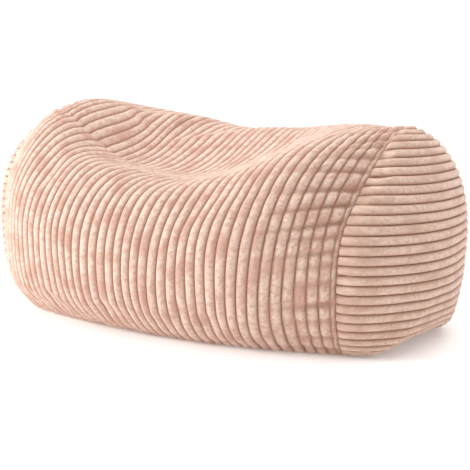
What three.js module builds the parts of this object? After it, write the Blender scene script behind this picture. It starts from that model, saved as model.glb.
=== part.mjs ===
// Giant bean bag: a long filled bolster in jumbo rib plush, with a seat pressed into its top.
// Three sewn pieces: the body panel, which wraps round the length, and a domed panel on each end.
// Millimetres. +X runs along the length, -Y is the sitting side, +Z is up, and it lies on z = 0.
import * as THREE from "three";

// Driving dimensions
const HALF_BODY = 607;          // middle of the bag to each end seam
const END_BULGE = 166;          // how far an end panel domes out past its seam
const SEAM_GAP = 0.3;           // clearance between two sewn pieces
const CONTACT_SHARE = 0.66;     // share of each half width that lies flat on the floor
const LOWER_ROUND = 2.1;        // superellipse power of the cheeks, floor to waist
const UPPER_ROUND = 2.2;        // superellipse power of the crown, waist to top
const DOME_ROUND = 1.8;         // superellipse power of an end panel's bulge
const DOME_CENTRE = 0.48;       // height of a dome's middle, as a share of its seam's height
const FOOT_FULLNESS = 0.72;     // how much fuller a dome is where it comes down to the floor
const FOOT_POWER = 3;           // how quickly that fullness fades above the floor
const LEAN_HEIGHT = 300;        // height at which a leaning section stands at its stated place

// One row for each cross-section, from the left seam to the right one.
// at: place along the body, as a share of HALF_BODY. front, back: half widths at the waist.
// waist: height of the widest line. top: height of the crown before the seat is pressed in.
// tilt: how much the back edge stands above the middle, and the front edge below it.
// dip, dipY, dipWidth: depth, middle and half width of the pressed seat; a dip below zero is a hump.
// lean: how far the section's plane runs towards +X for each millimetre of height.
const SECTION_COLUMNS = [
  "at", "front", "back", "waist", "top", "tilt", "dip", "dipY", "dipWidth", "lean",
];
const SECTION_ROWS = [
  [-1.00, 222, 341, 259, 552, 0, -8, 8, 190, 0.010],
  [-0.75, 356, 399, 257, 628, 42, 5, -27, 236, 0.010],
  [-0.45, 422, 442, 255, 616, 65, 113, -69, 216, 0.055],
  [-0.15, 437, 449, 240, 603, 63, 152, -79, 261, 0.050],
  [0.15, 426, 456, 226, 592, 52, 152, -108, 272, 0.095],
  [0.45, 401, 446, 239, 571, 79, 85, -81, 215, 0.110],
  [0.75, 344, 419, 225, 592, 42, 45, -54, 240, 0.120],
  [1.00, 243, 365, 233, 491, 108, -54, 41, 152, 0.060],
];

// How finely the faceted solids are cut
const LENGTH_STEPS = 30;
const CHEEK_STEPS = 7;
const CROWN_STEPS = 30;
const FLOOR_STEPS = 8;
const DOME_STEPS = 9;

// Natural cubic spline through one column of the section table
function columnSpline(name) {
  const x = SECTION_ROWS.map((row) => row[0] * HALF_BODY);
  const y = SECTION_ROWS.map((row) => row[SECTION_COLUMNS.indexOf(name)]);
  const last = x.length - 1;
  const curve = new Array(last + 1).fill(0);
  const weight = new Array(last + 1).fill(0);
  for (let i = 1; i < last; i++) {
    const before = x[i] - x[i - 1];
    const after = x[i + 1] - x[i];
    const slopeChange = (y[i + 1] - y[i]) / after - (y[i] - y[i - 1]) / before;
    const pivot = 2 * (before + after) - before * weight[i - 1];
    weight[i] = after / pivot;
    curve[i] = (6 * slopeChange - before * curve[i - 1]) / pivot;
  }
  for (let i = last - 1; i > 0; i--) {
    curve[i] -= weight[i] * curve[i + 1];
  }
  return (at) => {
    let i = 0;
    while (i < last - 1 && at > x[i + 1]) i += 1;
    const width = x[i + 1] - x[i];
    const a = (x[i + 1] - at) / width;
    const b = (at - x[i]) / width;
    const bend = ((a ** 3 - a) * curve[i] + (b ** 3 - b) * curve[i + 1]) * width * width / 6;
    return a * y[i] + b * y[i + 1] + bend;
  };
}

const sizeNames = SECTION_COLUMNS.slice(1);
const column = Object.fromEntries(sizeNames.map((name) => [name, columnSpline(name)]));

// One closed cross-section: up the front cheek, over the crown, down the back, along the floor
function crossSection(place) {
  const size = Object.fromEntries(sizeNames.map((name) => [name, column[name](place)]));
  const ring = [];
  const at = (y, z) => new THREE.Vector3(place + size.lean * (z - LEAN_HEIGHT), y, z);
  const cheekPoint = (halfWidth, side, step) => {
    const angle = step / CHEEK_STEPS * Math.PI / 2;
    const floorEdge = CONTACT_SHARE * halfWidth;
    const out = floorEdge + (halfWidth - floorEdge) * Math.sin(angle) ** (2 / LOWER_ROUND);
    const up = size.waist * (1 - Math.cos(angle) ** (2 / LOWER_ROUND));
    return at(side * out, step === 0 ? 0 : up);
  };
  for (let step = 0; step < CHEEK_STEPS; step++) {
    ring.push(cheekPoint(size.front, -1, step));
  }
  for (let step = 0; step <= CROWN_STEPS; step++) {
    const angle = step / CROWN_STEPS * Math.PI;
    const halfWidth = angle < Math.PI / 2 ? size.front : size.back;
    const across = Math.abs(Math.cos(angle)) ** (2 / UPPER_ROUND) * Math.sign(-Math.cos(angle));
    const rise = Math.max(Math.sin(angle), 0) ** (2 / UPPER_ROUND);
    const y = halfWidth * across;
    const pressed = size.dip * Math.exp(-(((y - size.dipY) / size.dipWidth) ** 2));
    const lift = size.top - size.waist + size.tilt * y / size.back - pressed;
    ring.push(at(y, size.waist + lift * rise));
  }
  for (let step = CHEEK_STEPS - 1; step >= 0; step--) {
    ring.push(cheekPoint(size.back, 1, step));
  }
  const backEdge = ring[ring.length - 1];
  for (let step = 1; step < FLOOR_STEPS; step++) {
    ring.push(backEdge.clone().lerp(ring[0], step / FLOOR_STEPS));
  }
  return ring;
}

// A closed solid through a row of rings, each end closed by a fan round its own middle point
function solidThrough(rings, firstMiddle, lastMiddle) {
  const around = rings[0].length;
  const points = rings.flat();
  const firstIndex = points.push(firstMiddle) - 1;
  const lastIndex = points.push(lastMiddle) - 1;
  const faces = [];
  for (let j = 0; j < around; j++) {
    const next = (j + 1) % around;
    for (let i = 0; i < rings.length - 1; i++) {
      const near = i * around;
      const far = near + around;
      faces.push(near + j, far + next, near + next, near + j, far + j, far + next);
    }
    const lastRing = (rings.length - 1) * around;
    faces.push(firstIndex, j, next, lastIndex, lastRing + next, lastRing + j);
  }
  const geometry = new THREE.BufferGeometry().setFromPoints(points);
  geometry.setIndex(faces);
  geometry.computeVertexNormals();
  return geometry;
}

// The middle point of a seam's plane, which a dome rises over
function seamMiddle(place) {
  const z = DOME_CENTRE * column.top(place);
  return new THREE.Vector3(place + column.lean(place) * (z - LEAN_HEIGHT), 0, z);
}

function bodyGeometry() {
  const rings = [];
  for (let i = 0; i <= LENGTH_STEPS; i++) {
    rings.push(crossSection(HALF_BODY * (2 * i / LENGTH_STEPS - 1)));
  }
  return solidThrough(rings, seamMiddle(-HALF_BODY), seamMiddle(HALF_BODY));
}

// A dome's height on the line from its middle to a seam point, filled out towards the floor
function domeHeight(middle, point, share) {
  const low = Math.max(middle.z - point.z, 0) / middle.z;
  const reach = share + FOOT_FULLNESS * share * (1 - share) * low ** FOOT_POWER;
  return middle.z + (point.z - middle.z) * reach;
}

// An end panel: the seam's outline shrinks towards its middle while the cloth bulges outward
function endGeometry(side) {
  const seam = crossSection(side * HALF_BODY);
  const middle = seamMiddle(side * HALF_BODY);
  const rings = [];
  for (let i = 0; i < DOME_STEPS; i++) {
    const share = Math.cos(i / DOME_STEPS * Math.PI / 2);
    const bulge = END_BULGE * (1 - share ** DOME_ROUND) ** (1 / DOME_ROUND);
    const out = new THREE.Vector3(side * (SEAM_GAP + bulge), 0, 0);
    rings.push(seam.map((point) => {
      const onDome = middle.clone().lerp(point, share).add(out);
      return onDome.setZ(domeHeight(middle, point, share));
    }));
  }
  const inside = middle.clone().add(new THREE.Vector3(side * SEAM_GAP, 0, 0));
  const tip = middle.clone().add(new THREE.Vector3(side * (SEAM_GAP + END_BULGE), 0, 0));
  return side > 0 ? solidThrough(rings, inside, tip) : solidThrough(rings.reverse(), tip, inside);
}

function plush(colour) {
  return new THREE.MeshStandardMaterial({ color: colour, roughness: 0.95, metalness: 0 });
}

function sewnPiece(name, geometry, colour) {
  const mesh = new THREE.Mesh(geometry, plush(colour));
  mesh.name = name;
  return mesh;
}

const bag = new THREE.Group();
bag.add(sewnPiece("body_panel", bodyGeometry(), 0xe2c0ac));
bag.add(sewnPiece("end_panel_right", endGeometry(1), 0xcda894));
bag.add(sewnPiece("end_panel_left", endGeometry(-1), 0xcda894));

// The origin is under the middle of the whole bag
const box = new THREE.Box3().setFromObject(bag);
const centre = box.getCenter(new THREE.Vector3());
bag.position.set(-centre.x, -centre.y, -box.min.z);

export default bag;
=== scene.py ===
# %% [markdown]
# # A giant bean bag in wide-rib plush
# The bag is three sewn pieces over a loose filling. One long panel wraps round the body, with its
# ribs running round the bag, and a domed panel closes each end, with its ribs lying across.
# The lesson starts from the fixed frame, which gives the size and place of every piece.

# %% Load the frame
import math

import bpy
import numpy as np
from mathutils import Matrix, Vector
from mathutils.kdtree import KDTree


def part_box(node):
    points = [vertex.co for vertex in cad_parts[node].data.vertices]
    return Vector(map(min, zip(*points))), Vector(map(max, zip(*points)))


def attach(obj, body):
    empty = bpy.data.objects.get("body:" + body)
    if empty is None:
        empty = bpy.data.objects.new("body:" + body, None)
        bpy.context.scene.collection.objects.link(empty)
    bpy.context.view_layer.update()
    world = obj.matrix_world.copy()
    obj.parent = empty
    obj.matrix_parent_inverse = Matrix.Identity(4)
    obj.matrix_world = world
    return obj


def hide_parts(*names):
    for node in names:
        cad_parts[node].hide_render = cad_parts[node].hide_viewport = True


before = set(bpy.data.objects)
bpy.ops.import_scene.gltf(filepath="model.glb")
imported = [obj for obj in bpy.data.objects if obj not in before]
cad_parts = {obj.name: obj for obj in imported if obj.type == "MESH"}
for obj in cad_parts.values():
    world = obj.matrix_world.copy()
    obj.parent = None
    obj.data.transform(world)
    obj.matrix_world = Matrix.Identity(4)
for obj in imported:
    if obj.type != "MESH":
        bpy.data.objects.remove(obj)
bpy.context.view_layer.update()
MM = 0.001

# %% [markdown]
# ## The filled form
# A filled bag has no flat sides. Its cheeks bulge, the underside lies flat on the floor, and the
# seat is pressed into the top. The form is a row of cross-sections, one row of sizes for each,
# joined by smooth curves. The same sizes drive the fixed frame, so the cloth fits it.

# %% Sizes of the cross-sections
HALF_BODY = 607 * MM
END_BULGE = 166 * MM
CONTACT_SHARE = 0.66
LOWER_ROUND = 2.1
UPPER_ROUND = 2.2
DOME_ROUND = 1.8
DOME_CENTRE = 0.48
FOOT_FULLNESS = 0.72
FOOT_POWER = 3
LEAN_HEIGHT = 300 * MM
SEAM_GAP = 0.3 * MM

SECTION_COLUMNS = (
    "at", "front", "back", "waist", "top", "tilt", "dip", "dip_y", "dip_width", "lean",
)
SECTION_ROWS = np.array([
    [-1.00, 222, 341, 259, 552, 0, -8, 8, 190, 0.010],
    [-0.75, 356, 399, 257, 628, 42, 5, -27, 236, 0.010],
    [-0.45, 422, 442, 255, 616, 65, 113, -69, 216, 0.055],
    [-0.15, 437, 449, 240, 603, 63, 152, -79, 261, 0.050],
    [0.15, 426, 456, 226, 592, 52, 152, -108, 272, 0.095],
    [0.45, 401, 446, 239, 571, 79, 85, -81, 215, 0.110],
    [0.75, 344, 419, 225, 592, 42, 45, -54, 240, 0.120],
    [1.00, 243, 365, 233, 491, 108, -54, 41, 152, 0.060],
])
print("cross-sections", len(SECTION_ROWS))

# %% Smooth curves through the sizes
def natural_spline(x, y):
    """A smooth curve through the points, straight at both ends. Each y may hold many values."""
    width = np.diff(x)
    last = len(x) - 1
    balance = np.eye(last + 1)
    wanted = np.zeros(y.shape)
    for i in range(1, last):
        balance[i, i - 1:i + 2] = width[i - 1], 2 * (width[i - 1] + width[i]), width[i]
        wanted[i] = 6 * ((y[i + 1] - y[i]) / width[i] - (y[i] - y[i - 1]) / width[i - 1])
    curve = np.linalg.solve(balance, wanted)

    def value(at):
        i = np.clip(np.searchsorted(x, at) - 1, 0, last - 1)
        as_column = np.shape(at) + (1,) * (y.ndim - 1)
        step = width[i].reshape(as_column)
        b = (at - x[i]).reshape(as_column) / step
        a = 1 - b
        bend = ((a**3 - a) * curve[i] + (b**3 - b) * curve[i + 1]) * step**2 / 6
        return a * y[i] + b * y[i + 1] + bend

    return value


def size_curves():
    curves = {}
    places = SECTION_ROWS[:, 0] * HALF_BODY
    for name, values in zip(SECTION_COLUMNS[1:], SECTION_ROWS.T[1:]):
        unit = 1 if name == "lean" else MM
        curves[name] = natural_spline(places, values * unit)
    return curves


SIZE = size_curves()
print("front half width in the middle, mm", round(float(SIZE["front"](np.array(0.0))) / MM))

# %% Cross-sections of the filled form
CHEEK_POINTS = 60
CROWN_POINTS = 240
FLOOR_POINTS = 12


def cross_sections(places):
    """Closed outlines at many places: floor middle, front cheek, crown, back cheek, floor middle."""
    size = {name: curve(places)[:, None] for name, curve in SIZE.items()}
    angle = np.linspace(0, math.pi / 2, CHEEK_POINTS)[None]
    out = np.sin(angle) ** (2 / LOWER_ROUND)
    up = 1 - np.cos(angle) ** (2 / LOWER_ROUND)

    def cheek(half_width):
        edge = CONTACT_SHARE * half_width
        return edge + (half_width - edge) * out, size["waist"] * up

    front_y, front_z = cheek(size["front"])
    back_y, back_z = cheek(size["back"])
    angle = np.linspace(0, math.pi, CROWN_POINTS)[None, 1:-1]
    across = -np.sign(np.cos(angle)) * np.abs(np.cos(angle)) ** (2 / UPPER_ROUND)
    rise = np.sin(angle) ** (2 / UPPER_ROUND)
    crown_y = np.where(across < 0, size["front"], size["back"]) * across
    pressed = size["dip"] * np.exp(-(((crown_y - size["dip_y"]) / size["dip_width"]) ** 2))
    lift = size["top"] - size["waist"] + size["tilt"] * crown_y / size["back"] - pressed
    crown_z = size["waist"] + lift * rise
    share = np.linspace(0, 1, FLOOR_POINTS)[None, :-1]
    floor_front = -CONTACT_SHARE * size["front"] * share
    floor_back = CONTACT_SHARE * size["back"] * share[:, ::-1]
    y = np.concatenate([floor_front, -front_y, crown_y, back_y[:, ::-1], floor_back], 1)
    flat = np.zeros_like(floor_front)
    z = np.concatenate([flat, front_z, crown_z, back_z[:, ::-1], flat], 1)
    x = places[:, None] + size["lean"] * (z - LEAN_HEIGHT)
    return np.stack([x, y, z], 2)


def origin_shift():
    """How far the form is moved so that it lies where the frame's body panel lies."""
    rings = cross_sections(np.linspace(-HALF_BODY, HALF_BODY, 61))
    low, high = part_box("body_panel")
    own_middle = (rings.min((0, 1)) + rings.max((0, 1))) / 2
    shift = (np.array(low) + np.array(high)) / 2 - own_middle
    shift[2] = 0
    return shift


SHIFT = origin_shift()
print("shift to the frame, mm", np.round(SHIFT / MM, 1))

# %% [markdown]
# ## Ribs, and the noise that makes cloth uneven
# Rib plush is made with rows of tall pile between narrow bare lines. Each rib stands as a rounded
# roll, so its profile is a rounded arch that falls steeply into a groove. Real cloth is never even:
# a few waves of random direction, from a seeded list, make every height and line waver softly.

# %% Rib profile and soft noise
RIB_PITCH = 28 * MM
RIB_HEIGHT = 11.5 * MM
RIB_ROUND = 2.05
RIB_STEPS = np.array([0.0, 0.055, 0.19, 0.39, 0.61, 0.81, 0.945])


def rib_arch(phase):
    """Height of the pile across one rib: 0 in the grooves at 0 and 1, and 1 on the crest."""
    across = np.clip(np.abs(2 * (phase % 1) - 1), 0, 1)
    return (1 - across**RIB_ROUND) ** (1 / RIB_ROUND)


def soft_noise(u, v, seed, waves=14):
    """A smooth uneven field about -1 to 1 over u and v, with features about one unit wide."""
    rng = np.random.default_rng(seed)
    total = np.zeros(np.broadcast(u, v).shape)
    for _ in range(waves):
        turn = rng.uniform(0, math.tau)
        speed = rng.uniform(0.5, 1.6) * math.pi
        start = rng.uniform(0, math.tau)
        total += np.sin(speed * (u * math.cos(turn) + v * math.sin(turn)) + start)
    return total / math.sqrt(waves)


print("noise spread", round(float(soft_noise(*np.mgrid[0:9:0.1, 0:9:0.1], 1).std()), 2))

# %% Rib lines between two ends
STRIP_LINES = (0.12, 0.6)
CLOSEST_LINES = 0.02


def rib_lines(first_groove, length):
    """Places across the cloth, in pitches: close together at each groove, wider on the crests."""
    lines = [0.0]
    for groove in np.arange(first_groove - 2, length + 1):
        lines += [groove + step for step in RIB_STEPS]
    lines += [first_groove * share for share in STRIP_LINES]
    lines += [length - first_groove * STRIP_LINES[0]]
    lines = np.array(sorted(lines + [length]))
    lines = lines[(lines >= 0) & (lines <= length)]
    keep = np.concatenate([[True], np.diff(lines) > CLOSEST_LINES])
    return lines[keep]


print("grid lines over three ribs", len(rib_lines(0.0, 3.0)))

# %% [markdown]
# ## A panel of cloth
# A panel starts as a flat grid, as a cloth is cut flat. It could be drawn face by face, but a grid
# keeps the weave's two directions, which the ribs and the colour both need. The grid's rows and
# columns are then laid on the filled form.

# %% Lay a grid on a form
def lay_panel(name, places, heights):
    """Makes a grid with one vertex for each entry of places, and stores the pile of each for painted
    shade.
    """
    columns, rows = places.shape[:2]
    bpy.ops.object.select_all(action="DESELECT")
    bpy.ops.mesh.primitive_grid_add(
        x_subdivisions=columns - 1, y_subdivisions=rows - 1, size=1, calc_uvs=True
    )
    panel = bpy.context.object
    panel.name = panel.data.name = name
    flat = np.zeros(len(panel.data.vertices) * 3)
    panel.data.vertices.foreach_get("co", flat)
    flat = flat.reshape(-1, 3) + 0.5
    column = np.rint(flat[:, 0] * (columns - 1)).astype(int)
    row = np.rint(flat[:, 1] * (rows - 1)).astype(int)
    panel.data.vertices.foreach_set("co", places[column, row].ravel())
    # The pile value sets painted shade: the plush is painted darker where it is low.
    pile = panel.data.attributes.new("pile", "FLOAT", "POINT")
    pile.data.foreach_set("value", heights[column, row].astype(np.float32))
    panel.data.update()
    return panel


# %% Cloth coordinates
def set_cloth_uv(panel, u, v):
    """Cloth coordinates in pitches, so that a weave keeps its scale wherever the cloth goes."""
    layer = panel.data.uv_layers.active.data
    flat = np.zeros(len(layer) * 2)
    layer.foreach_get("uv", flat)
    flat = flat.reshape(-1, 2)
    column = np.rint(flat[:, 0] * (u.shape[0] - 1)).astype(int)
    row = np.rint(flat[:, 1] * (u.shape[1] - 1)).astype(int)
    layer.foreach_set("uv", np.stack([u[column, row], v[column, row]], 1).ravel())


# %% [markdown]
# ## Closing a panel
# A sewn cover has no open edge. The tube's first and last row are merged, and each open rim is
# extruded and merged to a point behind its seam, where nobody sees it, so that the piece is one
# closed skin with all its faces outward.

# %% Close the rims
MERGE_BODY = 0.02 * MM
MERGE_END = 0.05 * MM


def close_panel(panel, seams, merge=MERGE_BODY):
    """Joins rows that meet, closes each open rim behind its seam, and turns faces outward."""
    bpy.ops.object.mode_set(mode="EDIT")
    bpy.ops.mesh.select_mode(type="VERT")
    bpy.ops.mesh.select_all(action="SELECT")
    bpy.ops.mesh.remove_doubles(threshold=merge)
    for side in seams:
        bpy.ops.mesh.select_all(action="DESELECT")
        bpy.ops.mesh.select_non_manifold()
        bpy.ops.object.mode_set(mode="OBJECT")
        for vertex in panel.data.vertices:
            vertex.select = vertex.select and vertex.co.x * side > 0
        for edge in panel.data.edges:
            edge.select = edge.select and panel.data.vertices[edge.vertices[0]].co.x * side > 0
        bpy.ops.object.mode_set(mode="EDIT")
        bpy.ops.mesh.extrude_region_move()
        bpy.ops.mesh.merge(type="CENTER")
    bpy.ops.mesh.select_all(action="SELECT")
    bpy.ops.mesh.normals_make_consistent(inside=False)
    bpy.ops.mesh.select_all(action="DESELECT")
    bpy.ops.mesh.select_non_manifold()
    bpy.ops.object.mode_set(mode="OBJECT")
    loose = sum(vertex.select for vertex in panel.data.vertices)
    bpy.ops.object.shade_smooth()
    print(panel.name, "faces", len(panel.data.polygons), "open points", loose)


# %% Directions on a surface
def turn_toward(direction, other, share):
    """Directions moved by a share towards other directions."""
    mixed = direction * (1 - share[..., None]) + other * share[..., None]
    return mixed / np.maximum(np.linalg.norm(mixed, axis=2, keepdims=True), 1e-12)


def surface_normals(places, closed):
    """Outward directions of a surface given as a grid of points."""
    along = np.gradient(places, axis=0)
    if closed:
        wrapped = np.concatenate([places[:, -2:-1], places, places[:, 1:2]], 1)
        across = (wrapped[:, 2:] - wrapped[:, :-2]) / 2
    else:
        across = np.gradient(places, axis=1)
    normal = np.cross(along, across)
    return normal / np.maximum(np.linalg.norm(normal, axis=2, keepdims=True), 1e-12)


# %% [markdown]
# ## Letting the cloth settle
# A real cover is a little too large for its filling, so it swells between the seams that hold it
# and wrinkles where it is gathered. That is left to the cloth simulation: a coarse copy of a panel
# is pushed out by pressure with its seams pinned. How far each point moved is softly capped, and on
# most of the body it is that cap that sets how much the cloth swells. The movement is then smoothly
# spread over the fine panel before the ribs are laid on, because fine ribs would be lost in it.

# %% What is held while the cloth settles
FLOOR_HOLD = 4 * MM


def nearest_points(points, wanted):
    tree = KDTree(len(points))
    for index, point in enumerate(points):
        tree.insert(point, index)
    tree.balance()
    return [tree.find(point)[1] for point in wanted]


def pin_seams(copy, form, rim):
    """Holds the seams, the wall behind them and the points on the floor."""
    group = copy.vertex_groups.new(name="held")
    places = [vertex.co for vertex in copy.data.vertices]
    nearest = nearest_points(form.reshape(-1, 3), places)
    on_rim = rim.ravel()[nearest]
    for index, place in enumerate(places):
        far = (place - Vector(form.reshape(-1, 3)[nearest[index]])).length > MM
        if far or on_rim[index] or place.z < FLOOR_HOLD:
            group.add([index], 1.0, "REPLACE")


# %% Cloth simulation on a coarse copy
SWELL_PRESSURE = 0.6
SWELL_FRAMES = 20
SWELL_LIMIT = 7 * MM
SPARE_CLOTH = 0.015
CLOTH_QUALITY = 6
CLOTH_MASS = 0.3
CLOTH_STRETCH = 60
CLOTH_BEND = 5.0


def add_cloth(copy):
    cloth = copy.modifiers.new("settle", "CLOTH")
    fabric = cloth.settings
    fabric.quality = CLOTH_QUALITY
    fabric.mass = CLOTH_MASS
    fabric.tension_stiffness = CLOTH_STRETCH
    fabric.compression_stiffness = CLOTH_STRETCH
    fabric.bending_stiffness = CLOTH_BEND
    fabric.use_pressure = True
    fabric.uniform_pressure_force = SWELL_PRESSURE
    fabric.shrink_min = -SPARE_CLOTH
    fabric.effector_weights.gravity = 0
    fabric.vertex_group_mass = "held"


def settle(name, form, rim, seams):
    """How far the points of a coarse closed panel move under pressure, limited in length."""
    copy = lay_panel(name, form, np.zeros(form.shape[:2]))
    close_panel(copy, seams)
    pin_seams(copy, form, rim)
    before = np.array([vertex.co for vertex in copy.data.vertices])
    add_cloth(copy)
    for frame_number in range(1, SWELL_FRAMES + 1):
        bpy.context.scene.frame_set(frame_number)
    bpy.ops.object.modifier_apply(modifier="settle")
    bpy.context.scene.frame_set(1)
    moved = np.array([vertex.co for vertex in copy.data.vertices]) - before
    length = np.linalg.norm(moved, axis=1, keepdims=True)
    print(name, "mean and most movement, mm", np.round(length.mean() / MM, 1),
          np.round(length.max() / MM, 1))
    moved *= SWELL_LIMIT * np.tanh(length / SWELL_LIMIT) / np.maximum(length, 1e-9)
    bpy.data.objects.remove(copy)
    return moved[nearest_points(before, form.reshape(-1, 3))].reshape(form.shape)


# %% Spread the movement over the fine cloth
def spread(moved, coarse_u, fine_u, coarse_v, fine_v):
    """Movement known on a coarse grid over u and v, smoothly read on a fine grid."""
    count = len(coarse_v)
    along = natural_spline(coarse_u, moved.reshape(len(coarse_u), -1))(fine_u)
    turned = along.reshape(len(fine_u), count, 3).transpose(1, 0, 2).reshape(count, -1)
    across = natural_spline(coarse_v, turned)(fine_v)
    return across.reshape(len(fine_v), len(fine_u), 3).transpose(1, 0, 2)


def settled_form(name, form, lines, coarse_columns, coarse_rows, seams, whole_rim):
    """The fine form after its coarse copy has settled."""
    columns = np.unique(np.searchsorted(lines, np.linspace(0, lines[-1], coarse_columns)))
    rows = np.unique(np.linspace(0, form.shape[1] - 1, coarse_rows).astype(int))
    rim = np.zeros((len(columns), len(rows)), bool)
    rim[[0, -1]] = True
    rim[:, [0, -1]] = whole_rim
    moved = settle(name, form[columns][:, rows], rim, seams)
    every_row = np.arange(form.shape[1])
    return form + spread(moved, lines[columns], lines, rows.astype(float), every_row)


# %% [markdown]
# ## The body panel
# The ribs run round the body, so a rib is a ring of the form. They are spaced evenly along the
# front cheek, and a narrow strip beside each seam is the cloth that the machine caught.

# %% Where the ribs lie
FIRST_GROOVE = 0.36


def cheek_length():
    """Distance along the bulging front cheek from the right seam, for places on the body."""
    places = np.linspace(HALF_BODY, -HALF_BODY, 600)
    widths = SIZE["front"](places)
    return places, np.concatenate([[0], np.cumsum(np.hypot(np.diff(places), np.diff(widths)))])


CHEEK_PLACES, CHEEK_DISTANCE = cheek_length()
BODY_RIBS = CHEEK_DISTANCE[-1] / RIB_PITCH
print("ribs round the body", round(BODY_RIBS, 1))

# %% Even rows round the body
FLOOR_ROWS = 8
UPPER_ROWS = 268
BODY_COARSE = (76, 96)


def even_rows(rings):
    """Outlines with the same rows round every one: few on the floor, many over the cloth seen."""
    steps = np.linalg.norm(np.diff(rings, axis=1), axis=2)
    distance = np.concatenate([np.zeros((len(rings), 1)), np.cumsum(steps, 1)], 1)
    front = FLOOR_POINTS - 1
    back = rings.shape[1] - FLOOR_POINTS
    result = []
    girth = []
    for ring, along in zip(rings, distance):
        wanted = np.concatenate([
            np.linspace(0, along[front], FLOOR_ROWS, endpoint=False),
            np.linspace(along[front], along[back], UPPER_ROWS, endpoint=False),
            np.linspace(along[back], along[-1], FLOOR_ROWS + 1),
        ])
        result.append(np.stack([np.interp(wanted, along, ring[:, i]) for i in range(3)], 1))
        girth.append(wanted - along[front])
    return np.array(result), np.array(girth)


body_lines = rib_lines(FIRST_GROOVE, BODY_RIBS)
body_places = np.interp(body_lines * RIB_PITCH, CHEEK_DISTANCE, CHEEK_PLACES)
body_form = cross_sections(body_places)
body_form = np.concatenate([body_form, body_form[:, :1]], 1)
body_form, body_girth = even_rows(body_form)
body_form += SHIFT
body_form = settled_form("body_fill", body_form, body_lines, *BODY_COARSE, (1, -1), False)
body_form[:, -1] = body_form[:, 0]
print("body grid", body_form.shape)

# %% [markdown]
# ## Gathers
# Where a long edge is sewn to a shorter one, the spare cloth gathers. Short creases run in from the
# seam across the ribs and pinch them into beads. They could come out of a fine simulation, but each
# one is listed here, so that it lies where the real bag has it. The hidden ones are seeded.

# %% Gathers beside the seams
# Each gather: place up the seam in mm, reach in ribs, depth.
RIGHT_GATHERS = [
    (40, 4, 0.75), (83, 4, 0.85), (133, 4, 0.7), (178, 4.5, 1.0), (233, 4, 0.7), (276, 4, 0.65),
    (307, 5, 0.85), (342, 5.5, 0.85), (380, 6.5, 1.0), (428, 7, 1.0), (473, 7, 1.0),
    (530, 5.5, 0.95), (580, 4.5, 0.75), (622, 4, 0.65), (660, 4, 0.7), (702, 4, 0.6),
]
LEFT_GATHERS = [(700, 7, 0.45), (742, 9, 0.65), (786, 9, 0.6), (828, 7, 0.45)]
WHOLE_GIRTH = 2180
GATHER_WIDTH = (8 * MM, 11 * MM)
GATHER_SLANT = 1.5 * MM
HIDDEN_START = 20.0
HIDDEN_STEP = (30, 55)
HIDDEN_CLEARANCE = 60
HIDDEN_REACH = (1.5, 5.0)
HIDDEN_DEPTH = (0.3, 0.85)


def gather_lines(seed, known):
    """Creases that run in from a seam: the ones the front shows, and the like all round."""
    rng = np.random.default_rng(seed)
    lines = list(known)
    place = HIDDEN_START
    while place < WHOLE_GIRTH:
        place += rng.uniform(*HIDDEN_STEP)
        if min(abs(place - line[0]) for line in known) > HIDDEN_CLEARANCE:
            lines.append((place, rng.uniform(*HIDDEN_REACH), rng.uniform(*HIDDEN_DEPTH)))
    slants = rng.uniform(-GATHER_SLANT, GATHER_SLANT, len(lines))
    widths = rng.uniform(*GATHER_WIDTH, len(lines))
    return [(*line, slant, width) for line, slant, width in zip(lines, slants, widths)]


# %% How deep the gathers are
def gather_depth(lines, ribs_in, girth):
    """How deeply the gathers pinch the cloth, 0 to 1, at a distance in ribs from the seam."""
    depth = np.zeros_like(girth)
    for place, reach, strength, slant, width in lines:
        aside = (girth - place * MM - slant * ribs_in) / width
        depth = np.maximum(depth, strength * np.exp(-(aside**2)) * np.exp(-((ribs_in / reach) ** 2)))
    return depth


right_gathers = gather_lines(11, RIGHT_GATHERS)
left_gathers = gather_lines(12, LEFT_GATHERS)
print("gathers", len(right_gathers), len(left_gathers))

# %% [markdown]
# ## Fold and crease in the seat
# A sitter leaves marks in the filling. A valley folds in where the seat runs out into the taller
# end, and on the back wall a short crease puts the ribs out of step. Both are smooth bumps of known
# place and width, which is simpler than a second cloth simulation and easy to move.

# %% Folds in the seat
FOLD_DEPTH = 15 * MM
FOLD_WIDTH = 24 * MM
FOLD_GIRTH = 760 * MM
FOLD_RIB = 36.0
FOLD_RIBS = 5.5
SLIP_RIB, SLIP_RIBS = 34.6, 1.6
SLIP_GIRTH, SLIP_WIDTH, SLIP_LENGTH = 950 * MM, 14 * MM, 75 * MM
SLIP_SHARE = 0.2


def seat_fold(ribs, girth):
    """A sharp valley where the seat runs out into the taller end."""
    window = np.exp(-(((ribs - FOLD_RIB) / FOLD_RIBS) ** 2))
    return FOLD_DEPTH * window * np.exp(-np.abs(girth - FOLD_GIRTH) / FOLD_WIDTH)


def rib_slip(ribs, girth):
    """A short crease on the back wall, across which the ribs are out of step."""
    aside = girth - SLIP_GIRTH
    window = np.exp(-(((ribs - SLIP_RIB) / SLIP_RIBS) ** 2)) * np.exp(-((aside / SLIP_LENGTH) ** 2))
    return SLIP_SHARE * window * np.tanh(aside / SLIP_WIDTH)


print("deepest fold, mm", round(float(seat_fold(FOLD_RIB, FOLD_GIRTH)) / MM))

# %% [markdown]
# ## The shape of the cloth
# The cloth is made by moving the form's points inward: a little on a crest, and by the height of
# the pile in a groove. Beside a seam they move straight towards the middle instead, so that the two
# pieces meet edge to edge. On the floor the ribs are squashed. Moving points by a formula was
# chosen over sculpting, because each rib stays a whole number of grid lines.

# %% Lay the pile on a form
STRIP_HEIGHT = 1.05
STRIP_FLOOR = 0.3
STRIP_TUFTS, TUFT_LENGTH = 0.12, 14 * MM
SEAM_SINK = 5 * MM
SEAM_WIDTH = 2.6 * MM
SEAM_REACH = 14 * MM
SQUASHED = 0.45
LOFT = 3.5 * MM
FLOOR_FADE = 8 * MM


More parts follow.
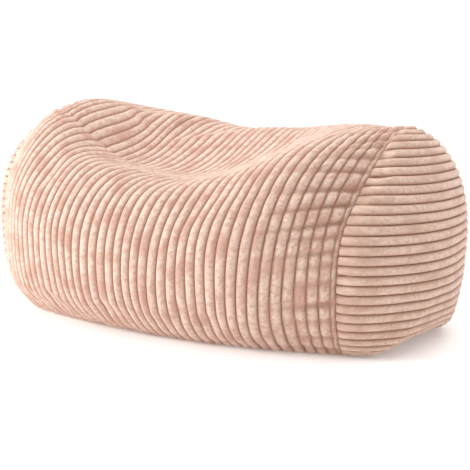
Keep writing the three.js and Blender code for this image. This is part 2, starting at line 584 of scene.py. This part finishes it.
def lay_pile(form, normal, radial, height, from_seam, uneven):
    """Moves the form's points in to the cloth: less on crests, more in grooves and at seams."""
    at_seam = np.exp(-from_seam / SEAM_WIDTH)
    on_floor = np.clip(1 - form[..., 2] / FLOOR_FADE, 0, 1)
    height = height * (1 - on_floor) + (1 - SQUASHED * (1 - height)) * on_floor
    sink = RIB_HEIGHT * (1 - height) + (uneven - LOFT) * (1 - on_floor)
    sink = sink * (1 - at_seam) + SEAM_SINK * at_seam
    out = turn_toward(normal, radial, np.exp(-((from_seam / SEAM_REACH) ** 2)))
    places = form - out * sink[..., None]
    places[..., 2] = np.maximum(places[..., 2], 0)
    return places


# %% Waver of the ribs and directions of the body
WAVER_SHARE, WAVER_SIZE, WAVER_RIBS = 0.09, (0.10, 0.20), 3


def wavered_form(ribs_in, edge_in):
    """The body form with its ribs moved a little along the bag, out of their even places."""
    waver = WAVER_SHARE * soft_noise(
        ribs_in * RIB_PITCH / WAVER_SIZE[0], body_girth / WAVER_SIZE[1], 3
    ) * np.clip(edge_in / WAVER_RIBS, 0, 1)
    waver += rib_slip(ribs_in, body_girth)
    per_rib = np.gradient(body_form, axis=0) / np.gradient(body_lines)[:, None, None]
    return body_form + per_rib * waver[..., None]


def body_directions(form):
    """Outward directions of the body, and directions away from the middle of each ring."""
    middle = (form.min(1, keepdims=True) + form.max(1, keepdims=True)) / 2
    radial = form - middle
    radial[..., 0] = SIZE["lean"](body_places)[:, None] * radial[..., 2]
    radial /= np.linalg.norm(radial, axis=2, keepdims=True)
    normal = surface_normals(form, True)
    normal *= np.sign((normal * radial).sum(2).mean())
    return normal, radial


# %% Shape of the body cloth
PLUMP_SHARE, PLUMP_SIZE = 0.05, (0.05, 0.07)
BULGE_SHARE, BULGE_RIBS, BULGE_GIRTH, BULGE_WIDTH = 0.16, 5, 0.45, 0.16
PINCH_SHARE, STRIP_PINCH, PINCH_DEPTH = 0.85, 0.5, 4.0 * MM
UNEVEN_DEPTH, UNEVEN_SIZE = 2.0 * MM, 0.16
# How much the painted shade is eased on pinched crests, and the highest painted light level.
PINCH_PAINTED_LIGHT, PAINTED_LIGHT_TOP = 0.2, 1.2


def body_cloth():
    ribs_in = np.broadcast_to(body_lines[:, None], body_girth.shape)
    left_in = BODY_RIBS - ribs_in
    edge_in = np.minimum(ribs_in, left_in)
    long_way = ribs_in * RIB_PITCH
    form = wavered_form(ribs_in, edge_in)
    normal, radial = body_directions(form)
    pinch = np.maximum(
        gather_depth(right_gathers, ribs_in, body_girth),
        gather_depth(left_gathers, left_in, body_girth),
    )
    arch = rib_arch(ribs_in - FIRST_GROOVE)
    bulge = np.exp(-((ribs_in / BULGE_RIBS) ** 2))
    bulge = bulge * np.exp(-(((body_girth - BULGE_GIRTH) / BULGE_WIDTH) ** 2))
    plump = 1 + PLUMP_SHARE * soft_noise(long_way / PLUMP_SIZE[0], body_girth / PLUMP_SIZE[1], 4)
    height = arch * (plump + BULGE_SHARE * bulge) * (1 - PINCH_SHARE * pinch)
    tufts = 1 + STRIP_TUFTS * soft_noise(ribs_in, body_girth / TUFT_LENGTH, 6)
    strip = STRIP_HEIGHT * rib_arch(edge_in / FIRST_GROOVE) * tufts * (1 - STRIP_PINCH * pinch)
    height = np.where(edge_in < FIRST_GROOVE, np.maximum(strip, STRIP_FLOOR), height)
    hollows = soft_noise(long_way / UNEVEN_SIZE, body_girth / UNEVEN_SIZE, 5)
    uneven = UNEVEN_DEPTH * (1 - hollows) + PINCH_DEPTH * pinch + seat_fold(ribs_in, body_girth)
    places = lay_pile(form, normal, radial, height, edge_in * RIB_PITCH, uneven)
    # Painted shade level: the pile height, raised a little on pinched crests; low values are painted
    # dark.
    painted_light_level = np.clip(height + PINCH_PAINTED_LIGHT * pinch * arch, 0, PAINTED_LIGHT_TOP)
    return places, painted_light_level, ribs_in, body_girth / RIB_PITCH


# %% Make the body panel
# For the body, the height returned here is its painted light level, which sets the painted shade.
places, height, ribs_in, rows_up = body_cloth()
places[:, -1] = places[:, 0]
body_panel = lay_panel("body_panel_cloth", places, height)
set_cloth_uv(body_panel, ribs_in, rows_up)
close_panel(body_panel, (1, -1))

# %% [markdown]
# ## The end panels
# Each end panel is a dome over the seam's outline, filled out where it comes down to the floor.
# Its ribs lie level, spaced along the dome from top to bottom, and each rib starts and ends at the
# seam as a rounded finger. The panel's rows are laid level, so each rib is a set of whole rows.

# %% The outline of a seam
DOME_COLUMNS = 260


def seam_outline(side):
    """One end of the body: its lean, the dome's middle height, and the seam's front and back."""
    place = np.array([side * HALF_BODY])
    ring = cross_sections(place)[0]
    crest = int(np.argmax(ring[:, 2]))
    front = ring[FLOOR_POINTS - 1:crest + 1]
    back = ring[crest:len(ring) - FLOOR_POINTS + 2][::-1]
    return {
        "lean": float(SIZE["lean"](place)[0]),
        "middle": DOME_CENTRE * float(SIZE["top"](place)[0]),
        "crest": ring[crest, 1:],
        "front": (np.maximum.accumulate(front[:, 2]), front[:, 1]),
        "back": (np.maximum.accumulate(back[:, 2]), back[:, 1]),
    }


# %% The dome over a seam
HALVINGS = 26
FOOT_ROUNDS = 8
DOME_RADIUS = 270 * MM
DOME_STEPS = 400


def seam_height(seam, z, share):
    """Height of the seam point whose line to the dome's middle passes height z at this share."""
    middle = seam["middle"]
    depth = np.maximum(middle - z, 0) / middle
    fullness = FOOT_FULLNESS * share * (1 - share)
    low = np.clip(depth / share, 0, 1)
    for _ in range(FOOT_ROUNDS):
        excess = share * low + fullness * low ** (FOOT_POWER + 1) - depth
        low -= excess / (share + (FOOT_POWER + 1) * fullness * low**FOOT_POWER)
    return np.where(z > middle, middle + (z - middle) / share, middle * (1 - low))


def dome_share(y, z, seam):
    """0 at the middle of the dome and 1 on the seam, found by halving."""
    lowest = np.full(y.shape, 1e-4)
    highest = np.ones(y.shape)
    for _ in range(HALVINGS):
        share = (lowest + highest) / 2
        height = seam_height(seam, z, share)
        inside = (height >= 0) & (height <= seam["crest"][1])
        inside &= y >= share * np.interp(height, *seam["front"])
        inside &= y <= share * np.interp(height, *seam["back"])
        highest = np.where(inside, share, highest)
        lowest = np.where(inside, lowest, share)
    return highest


def dome_rise(share):
    return END_BULGE * (1 - share**DOME_ROUND) ** (1 / DOME_ROUND)


def seam_distance(share):
    """Length over the dome from the seam to a given share of the way out from the middle."""
    shares = 1 - np.linspace(0, 1, DOME_STEPS) ** 2
    steps = np.hypot(np.diff(dome_rise(shares)), np.diff(shares) * DOME_RADIUS)
    return np.interp(share, shares[::-1], np.concatenate([[0], np.cumsum(steps)])[::-1])


# %% Cloth of an end panel
END_PITCH = 24 * MM
END_FIRST_GROOVE = 0.01
LEVELS = 500
END_COARSE = (44, 60)
FINGER_LENGTH = 9 * MM
END_PLUMP, END_PLUMP_SIZE, END_PLUMP_RIBS = 0.05, 0.06, 1.7
END_UNEVEN, END_UNEVEN_SIZE = 1.8 * MM, 0.15


def end_levels(seam):
    """Grid lines down a dome, in pitches, and the height of each."""
    top_y, top_z = seam["crest"]
    heights = top_z * (1 + np.cos(np.linspace(0, math.pi, LEVELS))) / 2
    over = dome_rise(dome_share(top_y * heights / top_z, heights, seam))
    down = np.concatenate([[0], np.cumsum(np.hypot(np.diff(over), np.diff(heights)))])
    lines = rib_lines(END_FIRST_GROOVE, down[-1] / END_PITCH)
    return lines, np.interp(lines * END_PITCH, down, heights)


def end_cloth(side, seed):
    seam = seam_outline(side)
    lines, level = end_levels(seam)
    front_y = np.interp(level, *seam["front"])
    back_y = np.interp(level, *seam["back"])
    across = (1 - np.cos(np.linspace(0, math.pi, DOME_COLUMNS))) / 2
    y = front_y[None] + (back_y - front_y)[None] * across[:, None]
    z = np.broadcast_to(level[None], y.shape)
    share = dome_share(y, z, seam)
    share[[0, -1]] = 1
    share[:, [0, -1]] = 1
    plane = side * (HALF_BODY + SEAM_GAP) + seam["lean"] * (z - LEAN_HEIGHT)
    form = np.stack([plane + side * dome_rise(share), y, z], 2) + SHIFT
    steps = np.arange(float(DOME_COLUMNS))
    form = settled_form(f"end_fill_{seed}", form, steps, *END_COARSE, (side,), True)
    normal = surface_normals(form, False)
    normal *= np.sign(normal[DOME_COLUMNS // 2, len(lines) // 2, 0]) * side
    above = z - seam["middle"]
    radial = np.stack([seam["lean"] * above, y, above], 2)
    radial /= np.maximum(np.linalg.norm(radial, axis=2, keepdims=True), 1e-9)
    from_seam = seam_distance(share)
    ribs_down = np.broadcast_to(lines[None], y.shape)
    plump = soft_noise(y / END_PLUMP_SIZE, ribs_down / END_PLUMP_RIBS, seed + 1)
    plump = 1 + END_PLUMP * plump
    finger = np.clip(from_seam / FINGER_LENGTH, 0, 1)
    height = rib_arch(ribs_down - END_FIRST_GROOVE) * plump * np.sqrt(finger * (2 - finger))
    uneven = soft_noise(y / END_UNEVEN_SIZE, z / END_UNEVEN_SIZE, seed + 2)
    uneven = END_UNEVEN * (1 - uneven)
    places = lay_pile(form, normal, radial, height, from_seam, uneven)
    # The rib height also sets the painted shade: darker in the grooves and at the finger ends by the
    # seam.
    return places, height, ribs_down, y / RIB_PITCH


# %% Make both end panels
end_panels = {}
for name, side, seed in (("right", 1, 21), ("left", -1, 31)):
    places, height, ribs_down, along = end_cloth(side, seed)
    panel = lay_panel(f"end_panel_{name}_cloth", places, height)
    set_cloth_uv(panel, ribs_down, along)
    close_panel(panel, (side,), MERGE_END)
    end_panels[name] = panel

# %% [markdown]
# ## Shader helper
# A material's colour is worked out by a chain of small nodes, which could be linked one by one. A
# small class wraps a socket instead, so that the chain reads like ordinary maths.

# %% Sockets that add and multiply
class Shade:
    """A socket of a material's node tree. Maths on it adds Math nodes to the tree."""

    def __init__(self, tree, socket=None):
        self.tree = tree
        self.socket = socket

    def make(self, kind, settings=None, inputs=None, output=0):
        """Adds any node: its type, its settings, and the values or links of its sockets."""
        node = self.tree.nodes.new(kind)
        for name, value in (settings or {}).items():
            setattr(node, name, value)
        for name, value in (inputs or {}).items():
            socket = node.inputs[name]
            if isinstance(value, Shade):
                self.tree.links.new(value.socket, socket)
            else:
                socket.default_value = value
        return Shade(self.tree, node.outputs[output])

    def maths(self, operation, a, b):
        return self.make("ShaderNodeMath", {"operation": operation}, {0: a, 1: b})

    def __add__(self, other):
        return self.maths("ADD", self, other)

    __radd__ = __add__

    def __mul__(self, other):
        return self.maths("MULTIPLY", self, other)

    __rmul__ = __mul__

    def __sub__(self, other):
        return self.maths("SUBTRACT", self, other)

    def __rsub__(self, other):
        return self.maths("SUBTRACT", other, self)

    def limited(self, low, high):
        """0 at low, 1 at high, smooth between."""
        ends = {"From Min": low, "From Max": high}
        return self.make(
            "ShaderNodeMapRange", {"interpolation_type": "SMOOTHSTEP"}, {"Value": self, **ends}
        )

    def blend(self, first, second):
        """This value mixes two colours."""
        mix = {"data_type": "RGBA", "blend_type": "MIX"}
        return self.make("ShaderNodeMix", mix, {0: self, 6: first, 7: second}, output=2)

    def times(self, colour):
        """This colour times another one."""
        mix = {"data_type": "RGBA", "blend_type": "MULTIPLY"}
        return self.make("ShaderNodeMix", mix, {0: 1.0, 6: self, 7: colour}, output=2)


# %% [markdown]
# ## The plush
# Plush is short upright pile. Seen end on, between the fibres, it is deep and warm, and seen along
# them it is pale, which a sheen gives. The grooves are painted darker, a painted shade, because less
# light gets in. Hands and packing brush the nap into patches, so soft blotches of a redder and a
# darker pink go over it.

# %% Plush material
# Each noise: scale, stretch, detail, offset.
PATCH_NOISE = (0.55, (1.0, 0.8, 1), 3.0, 3.1)
STREAK_NOISE = (2.2, (1.0, 1.0, 1), 4.0, 7.7)
FIBRE_NOISE = (5.5, (1.0, 1.0, 1), 5.0, 1.3)
NOISE_ROUGHNESS = 0.55
PILE_SHADE_RANGE, PATCH_RANGE, STREAK_RANGE = (0.25, 1.0), (0.44, 0.68), (0.44, 0.64)
STREAK_SHARE = 0.8
GRAIN_CONTRAST, GRAIN_LEVEL = 0.5, 0.97
PLUSH_BUMP = {"Strength": 0.6, "Distance": 0.003}
PLUSH_SURFACE = {
    "Roughness": 0.95,
    "Specular IOR Level": 0.15,
    "Sheen Weight": 0.35,
    "Sheen Roughness": 0.45,
    "Sheen Tint": (1.0, 0.93, 0.88, 1),
}


def plush(name, crest, groove, brushed, blotch, seed):
    material = bpy.data.materials.new(name)
    material.use_nodes = True
    tree = material.node_tree
    shader = tree.nodes["Principled BSDF"]
    shade = Shade(tree)
    cloth = shade.make("ShaderNodeUVMap", {"uv_map": "UVMap"})
    pile = shade.make("ShaderNodeAttribute", {"attribute_name": "pile"}, output=2)

    def noise(scale, stretch, detail, offset):
        spread = shade.make(
            "ShaderNodeMapping", None,
            {"Vector": cloth, "Scale": stretch, "Location": (offset, seed, 0)},
        )
        return shade.make(
            "ShaderNodeTexNoise", None,
            {"Vector": spread, "Scale": scale, "Detail": detail, "Roughness": NOISE_ROUGHNESS},
        )

    patches = noise(*PATCH_NOISE)
    streaks = noise(*STREAK_NOISE)
    fibres = noise(*FIBRE_NOISE)
    # Painted shade: where the pile value is low, in the grooves, at the seams and in the gathers, the
    # colour goes to the darker groove colour.
    colour = pile.limited(*PILE_SHADE_RANGE).blend(groove, crest)
    colour = (patches.limited(*PATCH_RANGE) * blotch).blend(colour, brushed)
    colour = (streaks.limited(*STREAK_RANGE) * (blotch * STREAK_SHARE)).blend(colour, brushed)
    grain = (fibres - 0.5) * GRAIN_CONTRAST + GRAIN_LEVEL
    bright = shade.make("ShaderNodeCombineColor", None, {0: grain, 1: grain, 2: grain})
    colour = colour.times(bright)
    tree.links.new(colour.socket, shader.inputs["Base Color"])
    surface = fibres * 0.5 + streaks * 0.5
    bump = shade.make("ShaderNodeBump", None, {"Height": surface, **PLUSH_BUMP})
    tree.links.new(bump.socket, shader.inputs["Normal"])
    for socket, value in PLUSH_SURFACE.items():
        shader.inputs[socket].default_value = value
    print("material", name, "nodes", len(tree.nodes))
    return material


# %% Two finishes: crest, groove with painted shade, brushed
body_plush = plush(
    "body_plush", (0.82, 0.61, 0.505, 1), (0.50, 0.29, 0.21, 1), (0.60, 0.345, 0.26, 1), 0.8, 2.0
)
end_plush = plush(
    "end_plush", (0.79, 0.575, 0.465, 1), (0.47, 0.26, 0.185, 1), (0.58, 0.35, 0.265, 1), 0.6, 9.0
)

# %% Dress the pieces
for panel, finish in (
    (body_panel, body_plush), (end_panels["right"], end_plush), (end_panels["left"], end_plush)
):
    panel.data.materials.append(finish)
    print(panel.name, "wears", finish.name)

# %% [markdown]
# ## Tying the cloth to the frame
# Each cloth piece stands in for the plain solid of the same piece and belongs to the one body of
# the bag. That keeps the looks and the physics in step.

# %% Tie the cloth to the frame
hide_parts("body_panel")
for side_name, panel in end_panels.items():
    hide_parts(f"end_panel_{side_name}")
for panel in (body_panel, *end_panels.values()):
    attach(panel, "root")
print("pieces tied", 1 + len(end_panels))

# %% [markdown]
# ## The floor
# A product photo stands its object on pale paper. The paper here is a large plane that glows a
# little, so that it stays white out to its far edge while the bag still throws a soft shadow.

# %% Floor
FLOOR_SIZE = 400
PAPER_SHADE = (0.93, 0.93, 0.93, 1)
PAPER_ROUGHNESS = 0.9
PAPER_GLOW = 0.19
bpy.ops.object.select_all(action="DESELECT")
bpy.ops.mesh.primitive_plane_add(size=FLOOR_SIZE)
floor = bpy.context.object
floor.name = "floor"
paper = bpy.data.materials.new("floor_paper")
paper.use_nodes = True
paper_shader = paper.node_tree.nodes["Principled BSDF"]
paper_shader.inputs["Base Color"].default_value = PAPER_SHADE
paper_shader.inputs["Roughness"].default_value = PAPER_ROUGHNESS
paper_shader.inputs["Emission Color"].default_value = (1, 1, 1, 1)
paper_shader.inputs["Emission Strength"].default_value = PAPER_GLOW
floor.data.materials.append(paper)
print("floor size in m", FLOOR_SIZE)

# %% [markdown]
# ## The light
# Ribs show only when light comes more from one side than from the others. The room is therefore a
# white sky that is brighter on one side, and two soft boxes add a key from the front left and a
# weak light from above. An even white sky is simpler, but it makes the ribs look flat.

# %% Room light
ROOM_BRIGHT_SIDE = Vector((-0.35, 0.45, 0.8)).normalized()
ROOM_SPREAD = (-0.55, 0.4)
ROOM_RANGE, ROOM_LEAST = 0.92, 0.10
world = bpy.data.worlds.new("studio")
bpy.context.scene.world = world
world.use_nodes = True
room = Shade(world.node_tree)
direction = room.make("ShaderNodeTexCoord")
toward = room.make(
    "ShaderNodeVectorMath", {"operation": "DOT_PRODUCT"}, {0: direction, 1: ROOM_BRIGHT_SIDE}, output=1
)
strength = toward.limited(*ROOM_SPREAD) * ROOM_RANGE + ROOM_LEAST
world.node_tree.links.new(strength.socket, world.node_tree.nodes["Background"].inputs["Strength"])
world.node_tree.nodes["Background"].inputs["Color"].default_value = (1, 1, 1, 1)
print("room light from", ROOM_LEAST, "to", round(ROOM_LEAST + ROOM_RANGE, 2))

# %% Soft boxes
AIM = (0, 0, 0.3)


def soft_box(name, place, size, power):
    light = bpy.data.lights.new(name, "AREA")
    light.shape = "RECTANGLE"
    light.size, light.size_y = size
    light.energy = power
    lamp = bpy.data.objects.new(name, light)
    bpy.context.scene.collection.objects.link(lamp)
    lamp.location = place
    lamp.rotation_euler = (Vector(AIM) - Vector(place)).to_track_quat("-Z", "Y").to_euler()
    print(name, "watts", power)


soft_box("key", (-2.9, -2.9, 1.8), (1.4, 1.4), 135)
soft_box("top", (0.9, 0.9, 2.8), (2.0, 2.0), 26)

# %% [markdown]
# ## The camera
# The camera stands where a fit of the outline, the seam and the grooves puts it: to the right of
# the front, a little above the bag. Its lens is set from the focal length in pixels.

# %% Camera
CAMERA_PLACE = np.array([1.756, -2.159, 0.642])
CAMERA_TURN = math.radians(37.2)
CAMERA_DIP = math.radians(8.4)
FOCAL_PIXELS = 947
FRAME_PIXELS = 470
SENSOR_WIDTH = 36
camera_data = bpy.data.cameras.new("camera")
camera_data.sensor_width = SENSOR_WIDTH
camera_data.lens = FOCAL_PIXELS / FRAME_PIXELS * SENSOR_WIDTH
camera = bpy.data.objects.new("camera", camera_data)
bpy.context.scene.collection.objects.link(camera)
camera.location = Vector(CAMERA_PLACE + SHIFT)
camera.rotation_euler = (math.pi / 2 - CAMERA_DIP, 0, CAMERA_TURN)
bpy.context.scene.camera = camera
bpy.context.scene.view_settings.view_transform = "Standard"
print("lens in mm", round(camera_data.lens, 1))
